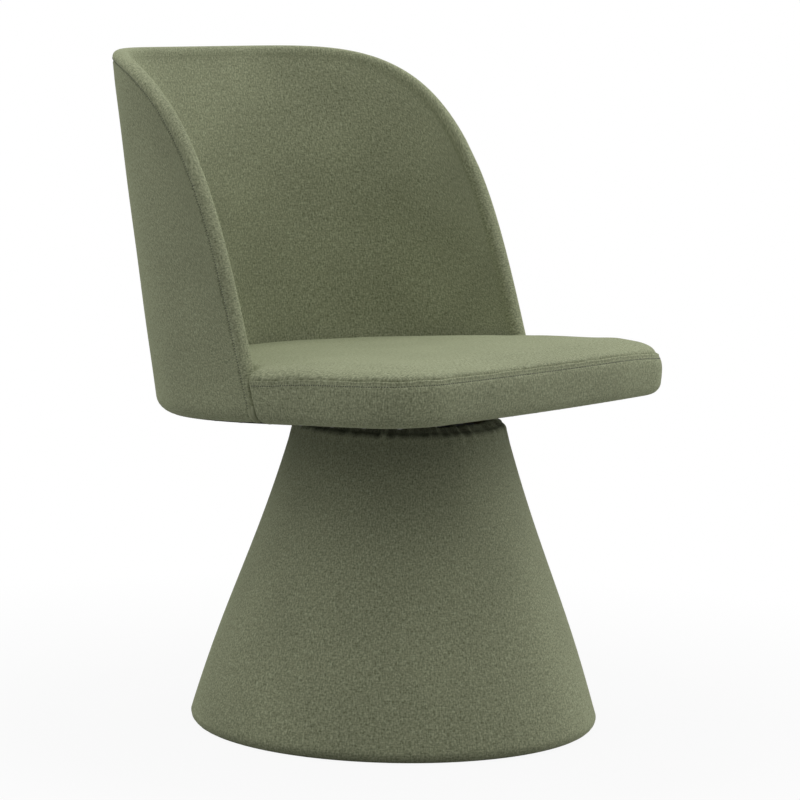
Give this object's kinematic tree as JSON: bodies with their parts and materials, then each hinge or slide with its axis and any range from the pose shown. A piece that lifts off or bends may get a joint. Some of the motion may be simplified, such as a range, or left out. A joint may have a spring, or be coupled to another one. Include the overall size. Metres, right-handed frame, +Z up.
{
  "type": "upholstered swivel dining chair",
  "caption": "Upholstered swivel dining chair with a curved tub shell, a flat boxed seat pad with a welted edge and a fabric cone plinth.",
  "frame": {"origin": "on the floor under the swivel axis, at the centre of the plinth's floor pad", "axes": "+Z up along the swivel axis, -Y the way the sitter faces at rest, +X to the left hand of the sitter"},
  "size_m": [0.568, 0.6095, 0.8333],
  "materials": {
    "cover_fabric": "woven, matt",
    "foam": "open-cell foam, matt",
    "plywood": "raw plywood",
    "swivel_steel": "zinc-plated steel",
    "lining": "non-woven felt, matt"
  },
  "bodies": {
    "plinth": {"base_floor_pad": "lining", "base_bottom_board": "plywood", "base_top_board": "plywood", "base_ribs": "plywood", "base_panel": "plywood", "base_foam": "foam", "base_cover": "cover_fabric", "swivel_lower_plate": "swivel_steel", "swivel_ball_cage": "swivel_steel", "swivel_balls": "swivel_steel", "swivel_pin": "swivel_steel", "swivel_washer": "swivel_steel", "swivel_base_bolts": "swivel_steel", "swivel_base_nuts": "swivel_steel"},
    "seat": {"swivel_upper_plate": "swivel_steel", "swivel_seat_screws": "swivel_steel", "seat_block": "plywood", "seat_board": "plywood", "seat_dust_cover": "lining", "seat_foam": "foam", "seat_top_cover": "cover_fabric", "seat_border": "cover_fabric", "seat_rear_border": "cover_fabric", "seat_welt": "cover_fabric", "shell_plywood": "plywood", "shell_screws": "swivel_steel", "shell_foam": "foam", "shell_outer_cover": "cover_fabric", "shell_inner_cover": "cover_fabric", "shell_rim_band": "cover_fabric"}
  },
  "joints": [
    {"name": "seat_swivel", "type": "hinge", "parent": "plinth", "child": "seat", "pos_m": [0, 0, 0.379], "axis": [0, 0, 1], "continuous": true}
  ]
}
